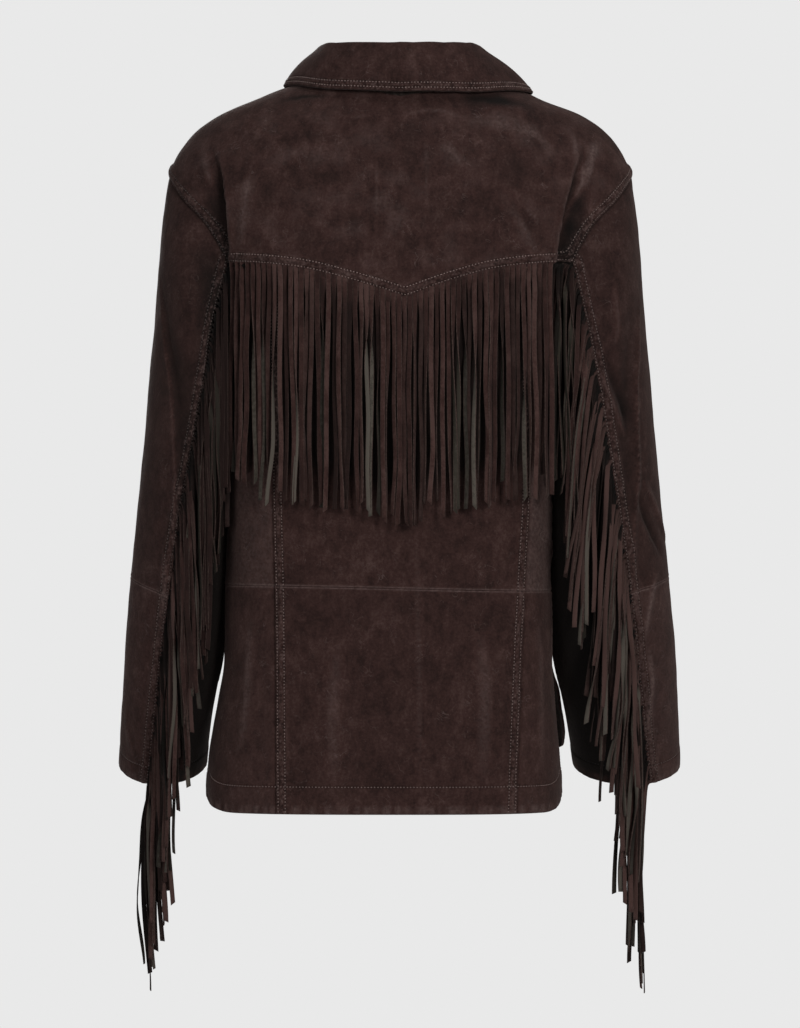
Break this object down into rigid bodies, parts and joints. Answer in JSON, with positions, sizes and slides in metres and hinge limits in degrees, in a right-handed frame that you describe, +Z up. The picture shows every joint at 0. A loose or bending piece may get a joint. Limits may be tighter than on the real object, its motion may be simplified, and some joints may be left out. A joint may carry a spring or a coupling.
{
  "type": "fringed suede jacket",
  "caption": "Hollow fringed suede jacket with a folded collar, V-shaped back yoke, long sleeves and cut fringe on the back and down both sleeves.",
  "frame": {"origin": "middle of the neck opening at the height of the shoulder line, where the wearer's shoulders hold the jacket", "axes": "+Z up, +Y towards the wearer's back, +X towards the wearer's left"},
  "size_m": [0.5635, 0.2428, 0.9514],
  "materials": {
    "suede": "brushed nap, matt",
    "fringe": "cut strips, nap side and flesh side, matt"
  },
  "bodies": {
    "root": {"collar": "suede", "back_yoke": "suede", "back_center_upper": "suede", "back_center_lower": "suede", "back_side_upper_left": "suede", "back_side_lower_left": "suede", "front_left": "suede", "top_sleeve_upper_left": "suede", "top_sleeve_lower_left": "suede", "under_sleeve_left": "suede", "back_side_upper_right": "suede", "back_side_lower_right": "suede", "front_right": "suede", "top_sleeve_upper_right": "suede", "top_sleeve_lower_right": "suede", "under_sleeve_right": "suede", "back_fringe": "fringe", "sleeve_fringe_left": "fringe", "sleeve_fringe_right": "fringe"}
  },
  "joints": []
}
